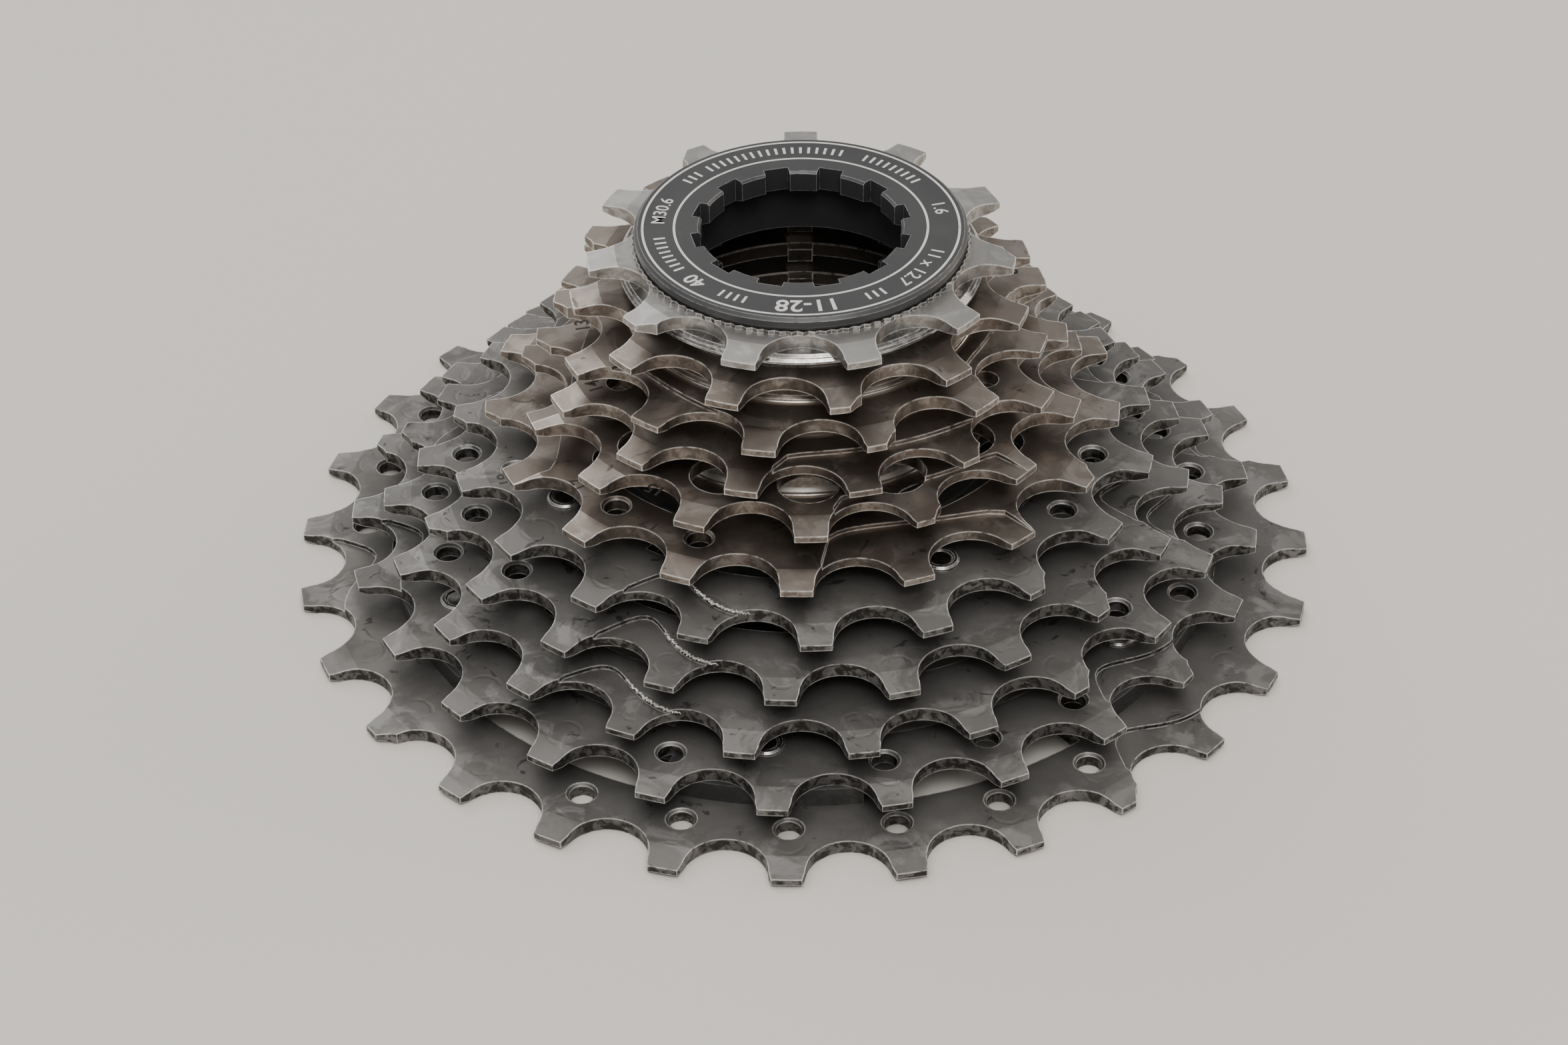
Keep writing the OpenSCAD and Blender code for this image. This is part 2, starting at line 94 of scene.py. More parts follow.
def addStudio(settings):
    half = settings["floorSize"] / 2
    level = cadBox[0].z
    mesh = bpy.data.meshes.new("floor")
    corners = [(-half, -half, level), (half, -half, level), (half, half, level), (-half, half, level)]
    mesh.from_pydata(corners, [], [(0, 1, 2, 3)])
    floor = bpy.data.objects.new("floor", mesh)
    bpy.context.scene.collection.objects.link(floor)
    material = bpy.data.materials.new("floorPaint")
    material.use_nodes = True
    shader = material.node_tree.nodes["Principled BSDF"]
    shader.inputs["Base Color"].default_value = settings["floorColour"]
    shader.inputs["Roughness"].default_value = settings["floorRoughness"]
    mesh.materials.append(material)

    world = bpy.data.worlds.new("studio")
    world.use_nodes = True
    background = world.node_tree.nodes["Background"]
    background.inputs["Color"].default_value = settings["worldColour"]
    background.inputs["Strength"].default_value = settings["worldStrength"]
    bpy.context.scene.world = world

    for name, (place, size, watts, colour) in settings["lights"].items():
        data = bpy.data.lights.new(name, "AREA")
        data.shape = "DISK"
        data.size = size
        data.energy = watts
        data.color = colour
        light = bpy.data.objects.new(name, data)
        light.location = place
        light.rotation_euler = (Vector(settings["aim"]) - Vector(place)).to_track_quat("-Z", "Y").to_euler()
        bpy.context.scene.collection.objects.link(light)


addCamera(view)
addStudio(studio)
print("camera, floor and lights made")


# shader node groups: each puts out a mask or a height, from 0 to 1

def feed(tree, socket, source):
    if isinstance(source, (int, float, tuple)):
        socket.default_value = source
    elif source is not None:
        tree.links.new(source, socket)


def mathNode(tree, operation, *sources, clamp=False):
    node = tree.nodes.new("ShaderNodeMath")
    node.operation = operation
    node.use_clamp = clamp
    for socket, source in zip(node.inputs, sources):
        feed(tree, socket, source)
    return node.outputs[0]


def rampNode(tree, value, low, high):  # 0 below low, 1 above high, smooth between them
    node = tree.nodes.new("ShaderNodeMapRange")
    node.interpolation_type = "SMOOTHSTEP"
    feed(tree, node.inputs["Value"], value)
    feed(tree, node.inputs["From Min"], low)
    feed(tree, node.inputs["From Max"], high)
    return node.outputs["Result"]


def noiseNode(tree, vector, scale, detail=4.0, roughness=0.55, distortion=0.0):
    node = tree.nodes.new("ShaderNodeTexNoise")
    feed(tree, node.inputs["Vector"], vector)
    feed(tree, node.inputs["Scale"], scale)
    node.inputs["Detail"].default_value = detail
    node.inputs["Roughness"].default_value = roughness
    node.inputs["Distortion"].default_value = distortion
    return node.outputs["Fac"]


def mixColour(tree, factor, first, second):
    node = tree.nodes.new("ShaderNodeMix")
    node.data_type = "RGBA"
    feed(tree, node.inputs["Factor"], factor)
    colours = [socket for socket in node.inputs if socket.type == "RGBA"]
    feed(tree, colours[0], first)
    feed(tree, colours[1], second)
    return [socket for socket in node.outputs if socket.type == "RGBA"][0]


def newGroup(name, inputs, output):
    tree = bpy.data.node_groups.new(name, "ShaderNodeTree")
    for label, value in inputs.items():
        socket = tree.interface.new_socket(label, in_out="INPUT", socket_type="NodeSocketFloat")
        socket.default_value = value
    tree.interface.new_socket(output, in_out="OUTPUT", socket_type="NodeSocketFloat")
    start = tree.nodes.new("NodeGroupInput")
    end = tree.nodes.new("NodeGroupOutput")
    return tree, start.outputs, end.inputs[0]


def place3d(tree):  # a point's place in the part's own frame, in metres
    return tree.nodes.new("ShaderNodeTexCoord").outputs["Object"]


def splitXyz(tree, vector):
    node = tree.nodes.new("ShaderNodeSeparateXYZ")
    feed(tree, node.inputs[0], vector)
    return node.outputs


def axisRadius(tree):  # distance from the axis
    x, y = splitXyz(tree, place3d(tree))[:2]
    acrossX = mathNode(tree, "MULTIPLY", x, x)
    acrossY = mathNode(tree, "MULTIPLY", y, y)
    return mathNode(tree, "SQRT", mathNode(tree, "ADD", acrossX, acrossY))


def makeEdgeGroup():  # sharp outer edges: polished by handling, and lightened further as a painted highlight
    tree, given, result = newGroup("Polished edges and painted highlight", {"Width": 0.0002, "Breakup": 1200.0}, "Edge")
    bevel = tree.nodes.new("ShaderNodeBevel")
    bevel.samples = 4
    feed(tree, bevel.inputs["Radius"], given["Width"])
    geometry = tree.nodes.new("ShaderNodeNewGeometry")
    dot = tree.nodes.new("ShaderNodeVectorMath")
    dot.operation = "DOT_PRODUCT"
    feed(tree, dot.inputs[0], bevel.outputs["Normal"])
    feed(tree, dot.inputs[1], geometry.outputs["Normal"])
    sharp = rampNode(tree, mathNode(tree, "SUBTRACT", 1.0, dot.outputs["Value"]), 0.004, 0.09)
    rough = rampNode(tree, noiseNode(tree, place3d(tree), given["Breakup"], 3.0), 0.25, 0.55)
    feed(tree, result, mathNode(tree, "MULTIPLY", sharp, rough))
    return tree


def makeStainGroup():  # soft-edged patches of tarnish and dried oil
    tree, given, result = newGroup("Stains", {"Scale": 90.0, "Coverage": 0.35, "Softness": 0.12}, "Stain")
    cloud = noiseNode(tree, place3d(tree), given["Scale"], 6.0, 0.62, 0.9)
    middle = mathNode(tree, "SUBTRACT", 0.78, mathNode(tree, "MULTIPLY", given["Coverage"], 0.56))
    low = mathNode(tree, "SUBTRACT", middle, given["Softness"])
    high = mathNode(tree, "ADD", middle, given["Softness"])
    feed(tree, result, rampNode(tree, cloud, low, high))
    return tree


def makeGrainGroup():  # the fine pitted skin that blasting leaves
    tree, given, result = newGroup("Blasted grain", {"Size": 0.0002}, "Height")
    fineShare = 0.65
    coarseScale = 0.22   # of the fine grain's
    scale = mathNode(tree, "DIVIDE", 1.0, given["Size"])
    fine = noiseNode(tree, place3d(tree), scale, 3.0, 0.7)
    coarse = noiseNode(tree, place3d(tree), mathNode(tree, "MULTIPLY", scale, coarseScale), 2.0)
    fine = mathNode(tree, "MULTIPLY", fine, fineShare)
    coarse = mathNode(tree, "MULTIPLY", coarse, 1 - fineShare)
    feed(tree, result, mathNode(tree, "ADD", fine, coarse))
    return tree


def makeWallGroup():  # sheared walls of gaps and holes, darkened in mottled patches: partly old grease, partly painted shade
    tree, given, result = newGroup("Greasy walls with painted shade", {"Scale": 900.0, "Coverage": 0.5}, "Grease and shade")
    geometry = tree.nodes.new("ShaderNodeNewGeometry")
    lean = mathNode(tree, "ABSOLUTE", splitXyz(tree, geometry.outputs["Normal"])[2])
    wall = rampNode(tree, mathNode(tree, "SUBTRACT", 1.0, lean), 0.45, 0.85)
    spots = noiseNode(tree, place3d(tree), given["Scale"], 5.0, 0.65, 0.6)
    level = mathNode(tree, "SUBTRACT", 0.75, mathNode(tree, "MULTIPLY", given["Coverage"], 0.5))
    soft = 0.08
    low = mathNode(tree, "SUBTRACT", level, soft)
    high = mathNode(tree, "ADD", level, soft)
    spotted = rampNode(tree, spots, low, high)
    feed(tree, result, mathNode(tree, "MULTIPLY", wall, spotted))
    return tree


def makeLatheGroup():  # fine rings round the axis, as a lathe leaves
    tree, given, result = newGroup("Turned rings", {"Pitch": 0.0001}, "Height")
    across = mathNode(tree, "DIVIDE", axisRadius(tree), given["Pitch"])
    up = mathNode(tree, "DIVIDE", splitXyz(tree, place3d(tree))[2], given["Pitch"])
    point = tree.nodes.new("ShaderNodeCombineXYZ")
    feed(tree, point.inputs[0], across)
    feed(tree, point.inputs[1], up)
    feed(tree, result, noiseNode(tree, point.outputs[0], 0.5, 2.0, 0.7))
    return tree


def makeTipGroup():  # outer ends of the teeth, which the chain rubs
    inputs = {"Tip radius": 0.05, "Length": 0.003, "Wander": 0.0015, "Blend": 0.0008}
    tree, given, result = newGroup("Tooth ends", inputs, "Tip")
    inner = mathNode(tree, "SUBTRACT", given["Tip radius"], given["Length"])
    drift = mathNode(tree, "SUBTRACT", noiseNode(tree, place3d(tree), 700.0), 0.5)
    edge = mathNode(tree, "ADD", axisRadius(tree), mathNode(tree, "MULTIPLY", drift, given["Wander"]))
    feed(tree, result, rampNode(tree, edge, inner, mathNode(tree, "ADD", inner, given["Blend"])))
    return tree


def makePunchGroup():  # shallow round punch marks, one at the foot of each tooth
    inputs = {
        "Teeth": 28.0, "First angle": 0.0,
        "Centre radius": 0.05, "Mark radius": 0.00125, "Line": 0.00025,
    }
    tree, given, result = newGroup("Punch marks", inputs, "Mark")
    x, y = splitXyz(tree, place3d(tree))[:2]
    turn = mathNode(tree, "SUBTRACT", mathNode(tree, "ARCTAN2", y, x), given["First angle"])
    count = mathNode(tree, "DIVIDE", given["Teeth"], 2 * math.pi)
    part = mathNode(tree, "SUBTRACT", mathNode(tree, "FRACT", mathNode(tree, "MULTIPLY", turn, count)), 0.5)
    radius = axisRadius(tree)
    sideways = mathNode(tree, "MULTIPLY", mathNode(tree, "DIVIDE", part, count), radius)
    outward = mathNode(tree, "SUBTRACT", radius, given["Centre radius"])
    sideways = mathNode(tree, "MULTIPLY", sideways, sideways)
    outward = mathNode(tree, "MULTIPLY", outward, outward)
    away = mathNode(tree, "SQRT", mathNode(tree, "ADD", sideways, outward))
    off = mathNode(tree, "ABSOLUTE", mathNode(tree, "SUBTRACT", away, given["Mark radius"]))
    off = mathNode(tree, "DIVIDE", off, given["Line"])
    ring = mathNode(tree, "SUBTRACT", 1.0, rampNode(tree, off, 0.3, 1.0))
    worn = rampNode(tree, noiseNode(tree, place3d(tree), 420.0, 2.0), 0.42, 0.6)
    feed(tree, result, mathNode(tree, "MULTIPLY", ring, worn))
    return tree


groups = {
    "edge": makeEdgeGroup(),
    "stain": makeStainGroup(),
    "grain": makeGrainGroup(),
    "wall": makeWallGroup(),
    "lathe": makeLatheGroup(),
    "tip": makeTipGroup(),
    "punch": makePunchGroup(),
}


def useGroup(tree, key, **values):
    node = tree.nodes.new("ShaderNodeGroup")
    node.node_tree = groups[key]
    for label, value in values.items():
        node.inputs[label.replace("_", " ")].default_value = value
    return node.outputs[0]


print("node groups made")


# materials: colours are linear, lengths are in metres, noise scales are per metre, and shares run from 0 to 1

finishes = {
    "titanium": {
        "smearCoverage": 0.24,
        "colour": (0.172, 0.166, 0.159, 1), "cloud": (0.128, 0.124, 0.119, 1), "metallic": 0.75,
        "roughness": 0.47, "roughnessSpread": 0.14,
        "stainColour": (0.088, 0.084, 0.079, 1), "stainScale": 95.0, "stainCoverage": 0.36,
        "rubColour": (0.300, 0.292, 0.283, 1), "rubScale": 190.0, "rubCoverage": 0.42, "rubLength": 0.0065,
        "tipColour": (0.190, 0.185, 0.178, 1), "tipLength": 0.0030, "tipShare": 0.3,
        "greaseAndShadeColour": (0.022, 0.020, 0.018, 1), "wallGreaseShadeShare": 0.9,
        "edgeWearHighlightColour": (0.80, 0.79, 0.77, 1), "edgeWidth": 0.00022, "edgeWearHighlightShare": 0.9,
        "grainSize": 0.00016, "bump": 0.16,
    },
    "nickel": {
        "smearCoverage": 0.22,
        "colour": (0.305, 0.263, 0.232, 1), "cloud": (0.218, 0.185, 0.161, 1), "metallic": 0.95,
        "roughness": 0.34, "roughnessSpread": 0.15,
        "stainColour": (0.132, 0.113, 0.092, 1), "stainScale": 120.0, "stainCoverage": 0.40,
        "rubColour": (0.430, 0.390, 0.355, 1), "rubScale": 170.0, "rubCoverage": 0.42, "rubLength": 0.0075,
        "tipColour": (0.350, 0.310, 0.278, 1), "tipLength": 0.0030, "tipShare": 0.3,
        "greaseAndShadeColour": (0.090, 0.071, 0.056, 1), "wallGreaseShadeShare": 0.6,
        "edgeWearHighlightColour": (0.98, 0.95, 0.90, 1), "edgeWidth": 0.00024, "edgeWearHighlightShare": 1.0,
        "grainSize": 0.00022, "bump": 0.12,
    },
    "brightNickel": {
        "smearCoverage": 0.12,
        "colour": (0.415, 0.405, 0.393, 1), "cloud": (0.345, 0.335, 0.323, 1), "metallic": 0.9,
        "roughness": 0.38, "roughnessSpread": 0.10,
        "stainColour": (0.40, 0.385, 0.36, 1), "stainScale": 160.0, "stainCoverage": 0.25,
        "rubColour": (0.560, 0.552, 0.540, 1), "rubScale": 260.0, "rubCoverage": 0.40, "rubLength": 0.006,
        "tipColour": (0.48, 0.472, 0.460, 1), "tipLength": 0.0026, "tipShare": 0.3,
        "greaseAndShadeColour": (0.200, 0.175, 0.150, 1), "wallGreaseShadeShare": 0.6,
        "edgeWearHighlightColour": (0.97, 0.96, 0.94, 1), "edgeWidth": 0.00024, "edgeWearHighlightShare": 0.9,
        "grainSize": 0.00018, "bump": 0.12,
    },
    "carrierBlack": {
        "smearCoverage": 0.1,
        "colour": (0.024, 0.024, 0.026, 1), "cloud": (0.036, 0.035, 0.034, 1), "metallic": 0.0,
        "roughness": 0.42, "roughnessSpread": 0.12,
        "stainColour": (0.060, 0.054, 0.048, 1), "stainScale": 150.0, "stainCoverage": 0.25,
        "rubColour": (0.080, 0.080, 0.082, 1), "rubScale": 300.0, "rubCoverage": 0.15,
        "greaseAndShadeColour": (0.012, 0.011, 0.010, 1), "wallGreaseShadeShare": 0.5,
        "edgeWearHighlightColour": (0.20, 0.20, 0.20, 1), "edgeWidth": 0.00018, "edgeWearHighlightShare": 0.5,
        "grainSize": 0.00025, "bump": 0.18,
    },
    "spacerBlack": {
        "smearCoverage": 0.1,
        "colour": (0.060, 0.058, 0.057, 1), "cloud": (0.090, 0.086, 0.082, 1), "metallic": 0.9,
        "roughness": 0.34, "roughnessSpread": 0.10,
        "stainColour": (0.09, 0.082, 0.074, 1), "stainScale": 180.0, "stainCoverage": 0.25,
        "rubColour": (0.14, 0.135, 0.13, 1), "rubScale": 260.0, "rubCoverage": 0.2,
        "tipColour": (0.92, 0.88, 0.82, 1), "tipLength": 0.00038, "tipShare": 1.0,
        "greaseAndShadeColour": (0.015, 0.014, 0.012, 1), "wallGreaseShadeShare": 0.3,
        "edgeWearHighlightColour": (0.85, 0.82, 0.77, 1), "edgeWidth": 0.00024, "edgeWearHighlightShare": 0.8,
        "lathePitch": 0.00012, "bump": 0.12,
    },
    "darkChrome": {
        "smearCoverage": 0.1,
        "colour": (0.300, 0.296, 0.290, 1), "cloud": (0.200, 0.197, 0.192, 1), "metallic": 1.0,
        "roughness": 0.17, "roughnessSpread": 0.12,
        "stainColour": (0.10, 0.095, 0.088, 1), "stainScale": 320.0, "stainCoverage": 0.30,
        "rubColour": (0.62, 0.61, 0.59, 1), "rubScale": 1100.0, "rubCoverage": 0.40,
        "greaseAndShadeColour": (0.02, 0.02, 0.02, 1), "wallGreaseShadeShare": 0.15,
        "edgeWearHighlightColour": (0.96, 0.95, 0.93, 1), "edgeWidth": 0.00018, "edgeWearHighlightShare": 0.95,
        "lathePitch": 0.00010, "bump": 0.10,
    },
    "rivetSteel": {
        "smearCoverage": 0.2,
        "colour": (0.33, 0.325, 0.315, 1), "cloud": (0.24, 0.235, 0.228, 1), "metallic": 1.0,
        "roughness": 0.28, "roughnessSpread": 0.12,
        "stainColour": (0.09, 0.082, 0.074, 1), "stainScale": 420.0, "stainCoverage": 0.35,
        "rubColour": (0.5, 0.49, 0.48, 1), "rubScale": 900.0, "rubCoverage": 0.3,
        "greaseAndShadeColour": (0.03, 0.03, 0.03, 1), "wallGreaseShadeShare": 0.5,
        "edgeWearHighlightColour": (0.88, 0.87, 0.85, 1), "edgeWidth": 0.00024, "edgeWearHighlightShare": 0.95,
        "grainSize": 0.00016, "bump": 0.12,
    },
    "anodisedBlack": {
        "smearCoverage": 0.08,
        "colour": (0.050, 0.051, 0.054, 1), "cloud": (0.060, 0.061, 0.063, 1), "metallic": 0.25,
        "roughness": 0.38, "roughnessSpread": 0.07,
        "stainColour": (0.070, 0.069, 0.067, 1), "stainScale": 240.0, "stainCoverage": 0.20,
        "rubColour": (0.085, 0.086, 0.088, 1), "rubScale": 500.0, "rubCoverage": 0.14,
        "greaseAndShadeColour": (0.010, 0.010, 0.010, 1), "wallGreaseShadeShare": 0.3,
        "edgeWearHighlightColour": (0.42, 0.42, 0.43, 1), "edgeWidth": 0.00016, "edgeWearHighlightShare": 0.7,
        "lathePitch": 0.00008, "bump": 0.08,
    },
}


# what every finish has in common
everyFinish = {
    "cloudScale": 55.0, "cloudFrom": 0.38, "cloudTo": 0.66,
    "stainShare": 0.75, "stainRoughness": 0.08,
    "rubShare": 0.6, "rubSoftness": 0.06, "rubWander": 0.003, "rubBlend": 0.002,
    "smearScale": 340.0, "smearSoftness": 0.03, "smearShare": 0.7,
    "boreRadius": 0.0177, "boreBlend": 0.0004,   # inside the bore the freehub keeps the walls clean, and they get no painted shade either
    "edgeMatteHighlight": 0.5, "edgePolish": 0.08,      # edges lose metal so they read as a painted matte highlight, and worn edges are smoother
    "roughnessScale": 260.0,
    "punchDepth": 2.0, "bumpDistance": 0.0001,
}


def metal(name, look, rim=None, marks=None):
    material = bpy.data.materials.new(name)
    material.use_nodes = True
    tree = material.node_tree
    shader = tree.nodes["Principled BSDF"]
    every = everyFinish

    cloud = noiseNode(tree, place3d(tree), every["cloudScale"], 5.0, 0.6, 0.5)
    cloud = rampNode(tree, cloud, every["cloudFrom"], every["cloudTo"])
    colour = mixColour(tree, cloud, look["colour"], look["cloud"])
    stain = useGroup(tree, "stain", Scale=look["stainScale"], Coverage=look["stainCoverage"])
    share = mathNode(tree, "MULTIPLY", stain, every["stainShare"])
    colour = mixColour(tree, share, colour, look["stainColour"])
    rub = useGroup(tree, "stain", Scale=look["rubScale"], Coverage=look["rubCoverage"],
                   Softness=every["rubSoftness"])
    if "rubLength" in look:
        reach = useGroup(tree, "tip", Tip_radius=rim["radius"], Length=look["rubLength"],
                         Wander=every["rubWander"], Blend=every["rubBlend"])
        rub = mathNode(tree, "MULTIPLY", rub, reach)
    colour = mixColour(tree, mathNode(tree, "MULTIPLY", rub, every["rubShare"]), colour, look["rubColour"])
    if "tipColour" in look:
        tip = useGroup(tree, "tip", Tip_radius=rim["radius"], Length=look["tipLength"],
                       Wander=rim["wander"], Blend=rim["blend"])
        colour = mixColour(tree, mathNode(tree, "MULTIPLY", tip, look["tipShare"]), colour, look["tipColour"])
    smear = useGroup(tree, "stain", Scale=every["smearScale"], Coverage=look["smearCoverage"],
                     Softness=every["smearSoftness"])
    share = mathNode(tree, "MULTIPLY", smear, every["smearShare"])
    colour = mixColour(tree, share, colour, look["greaseAndShadeColour"])
    # upright walls darkened in mottled patches: partly grease, partly painted shade
    bore = every["boreRadius"]
    outside = rampNode(tree, axisRadius(tree), bore, bore + every["boreBlend"])
    wallGreaseShade = mathNode(tree, "MULTIPLY", useGroup(tree, "wall"), outside)
    share = mathNode(tree, "MULTIPLY", wallGreaseShade, look["wallGreaseShadeShare"])
    colour = mixColour(tree, share, colour, look["greaseAndShadeColour"])
    # edges: polish wear plus a painted highlight, a pale colour with less metal so the edges look bright
    # under any light
    edge = useGroup(tree, "edge", Width=look["edgeWidth"])
    share = mathNode(tree, "MULTIPLY", edge, look["edgeWearHighlightShare"])
    colour = mixColour(tree, share, colour, look["edgeWearHighlightColour"])
    feed(tree, shader.inputs["Base Color"], colour)
    matteHighlight = mathNode(tree, "MULTIPLY", edge, every["edgeMatteHighlight"] * look["metallic"])
    feed(tree, shader.inputs["Metallic"], mathNode(tree, "SUBTRACT", look["metallic"], matteHighlight))

    cloud = noiseNode(tree, place3d(tree), every["roughnessScale"], 5.0)
    spread = mathNode(tree, "MULTIPLY", mathNode(tree, "SUBTRACT", cloud, 0.5), 2 * look["roughnessSpread"])
    rough = mathNode(tree, "ADD", spread, look["roughness"])
    rough = mathNode(tree, "ADD", rough, mathNode(tree, "MULTIPLY", stain, every["stainRoughness"]))
    polish = mathNode(tree, "MULTIPLY", edge, every["edgePolish"])
    feed(tree, shader.inputs["Roughness"], mathNode(tree, "SUBTRACT", rough, polish, clamp=True))

    if "lathePitch" in look:
        height = useGroup(tree, "lathe", Pitch=look["lathePitch"])
    else:
        height = useGroup(tree, "grain", Size=look["grainSize"])
    if marks:
        punch = mathNode(tree, "MULTIPLY", useGroup(tree, "punch", **marks), every["punchDepth"])
        height = mathNode(tree, "SUBTRACT", height, punch)
    bump = tree.nodes.new("ShaderNodeBump")
    bump.inputs["Strength"].default_value = look["bump"]
    bump.inputs["Distance"].default_value = every["bumpDistance"]
    feed(tree, bump.inputs["Height"], height)
    feed(tree, shader.inputs["Normal"], bump.outputs["Normal"])
    return material


chain = {"pitch": 12.7, "rollerSeat": 4.5}   # mm
# teeth, angle of the tooth nearest the front in degrees from -Y,
# distance from pitch circle to hole circle in mm or 0 for no holes there, finish
stack = {
    "sprocket_28": (28, -2.4, 6.6, "titanium"),
    "sprocket_25": (25, -4.2, 5.9, "titanium"),
    "sprocket_23": (23, 7.0, 5.3, "titanium"),
    "sprocket_21": (21, -3.7, 4.9, "titanium"),
    "sprocket_19": (19, 1.4, 5.9, "titanium"),
    "sprocket_17": (17, -1.6, 0, "nickel"),
    "sprocket_15": (15, 1.1, 0, "nickel"),
    "sprocket_14": (14, 12.5, 0, "nickel"),
    "sprocket_13": (13, -10.1, 0, "nickel"),
    "sprocket_12": (12, 10.2, 0, "nickel"),
    "sprocket_11": (11, 15.8, 0, "brightNickel"),
}
others = {
    "large_spider": "carrierBlack", "small_spider": "carrierBlack",
    "rivets_28": "rivetSteel", "rivets_25": "rivetSteel", "rivets_23": "rivetSteel",
    "rivets_21": "rivetSteel", "rivets_19": "rivetSteel",
    "spacer_11": "darkChrome", "lock_washer": "darkChrome", "lock_ring": "anodisedBlack",
}
spacers = ["spacer_17", "spacer_15", "spacer_14", "spacer_13"]
edges = {
    "sharpAngle": 32,   # degrees
    "sprocketRound": 0.00014,
    "spacerRound": 0.00006,
    "otherRound": 0.00012,
    "lockRingRound": 0.00030,
}


def pitchRadius(teeth):
    return chain["pitch"] * mm / 2 / math.sin(math.pi / teeth)


def toothAngle(node, index):
    teeth, timing, inset, finish = stack[node]
    return math.radians(timing - 90 + index * 360 / teeth)


def setMaterial(piece, material):
    piece.data.materials.clear()
    piece.data.materials.append(material)


def roundEdges(piece, width):
    bevel = piece.modifiers.new("roundedEdges", "BEVEL")
    bevel.width = width
    bevel.segments = 2
    bevel.limit_method = "ANGLE"
    bevel.angle_limit = math.radians(edges["sharpAngle"])
    bevel.use_clamp_overlap = False
    bevel.miter_outer = "MITER_ARC"


# metres; ragged ends on the teeth, a clean line on the turned spacers
rimLooks = {
    "sprocket": {"wander": 0.0015, "blend": 0.0008},
    "spacer": {"wander": 0.0, "blend": 0.00005},
}
punchMarks = {"outFromHoles": 2.0, "radius": 0.0018, "line": 0.0003}   # the first in mm, the others in metres

for node, (teeth, timing, inset, finish) in stack.items():
    rim = dict(rimLooks["sprocket"], radius=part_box(node)[1].x)
    marks = None
    if inset:
        marks = {
            "Teeth": float(teeth), "First_angle": toothAngle(node, 0.5),
            "Centre_radius": pitchRadius(teeth) - (inset - punchMarks["outFromHoles"]) * mm,
            "Mark_radius": punchMarks["radius"], "Line": punchMarks["line"],
        }
    setMaterial(nodes[node], metal(node + "_metal", finishes[finish], rim, marks))
    roundEdges(nodes[node], edges["sprocketRound"])
for node in spacers:
    rim = dict(rimLooks["spacer"], radius=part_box(node)[1].x)
    setMaterial(nodes[node], metal(node + "_metal", finishes["spacerBlack"], rim))
    roundEdges(nodes[node], edges["spacerRound"])
shared = {finish: metal(finish, finishes[finish]) for finish in sorted(set(others.values()))}
for node, finish in others.items():
    setMaterial(nodes[node], shared[finish])
    roundEdges(nodes[node], edges["lockRingRound"] if node == "lock_ring" else edges["otherRound"])
print("metal finishes set")


# lock ring print: two fine circles, and plain marks between them

lockPrint = {
    "colour": (0.62, 0.62, 0.60, 1), "roughness": 0.45,
    "innerCircle": 13.6, "outerCircle": 17.0, "line": 0.13,   # mm; line is half the width
    "proud": 0.015,
    "sides": 192,
    "textRadius": 15.3, "dashHalf": 0.62,   # mm
    "dash": 1.1, "dashStep": 3.4, "dashSides": 4,   # degrees
    # middle angle in degrees from +X, the figures written there, their height in mm and added weight
    "figures": [(-88, "11-28", 2.1, 0.05), (-33, "11 x 12.7", 1.5, 0.012), (12, "1.6", 1.5, 0.012),
                (-137, "40", 1.7, 0.05), (168, "M30.6", 1.5, 0.012)],
    "dashes": [(-124, -112), (-64, -54), (34, 62), (72, 130), (136, 146), (188, 214)],
}


paintWear = {"scale": 900.0, "coverage": 0.25, "softness": 0.08, "dull": 0.62, "roughness": 0.2}


def paint(name, colour, roughness, metallic=0.0):
    material = bpy.data.materials.new(name)
    material.use_nodes = True
    tree = material.node_tree
    shader = tree.nodes["Principled BSDF"]
    worn = useGroup(tree, "stain", Scale=paintWear["scale"], Coverage=paintWear["coverage"],
                    Softness=paintWear["softness"])
    dull = tuple(paintWear["dull"] * c for c in colour[:3]) + (1,)
    feed(tree, shader.inputs["Base Color"], mixColour(tree, worn, colour, dull))
    rougher = mathNode(tree, "MULTIPLY", worn, paintWear["roughness"])
    feed(tree, shader.inputs["Roughness"], mathNode(tree, "ADD", rougher, roughness))
    shader.inputs["Metallic"].default_value = metallic
    return material


def addPiece(name, vertices, faces, material, body, slot):
    mesh = bpy.data.meshes.new(name)
    mesh.from_pydata(vertices, [], faces)
    mesh.update()
    mesh.materials.append(material)
    piece = bpy.data.objects.new(name, mesh)
    bpy.context.scene.collection.objects.link(piece)
    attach(piece, body)


def turnedRing(profile, sides):  # sweeps a closed outline of (radius in mm, height in metres) round the axis
    vertices = []
    faces = []
    count = len(profile)
    for k in range(sides):
        angle = 2 * math.pi * k / sides
        vertices += [(r * mm * math.cos(angle), r * mm * math.sin(angle), z) for r, z in profile]
        now = count * k
        then = count * ((k + 1) % sides)
        for i in range(count):
            j = (i + 1) % count
            faces.append((now + i, now + j, then + j, then + i))
    return vertices, faces


def barOutline(radius, half, low, high):  # four corners, as (radius, height)
    return [(radius - half, low), (radius + half, low), (radius + half, high), (radius - half, high)]


def tubeFaces(steps, count):  # the sides and both ends of a tube made of steps + 1 outlines
    faces = []
    for k in range(steps):
        now = count * k
        then = now + count
        for i in range(count):
            j = (i + 1) % count
            faces.append((now + i, now + j, then + j, then + i))
    faces.append(tuple(reversed(range(count))))
    faces.append(tuple(count * steps + i for i in range(count)))
    return faces


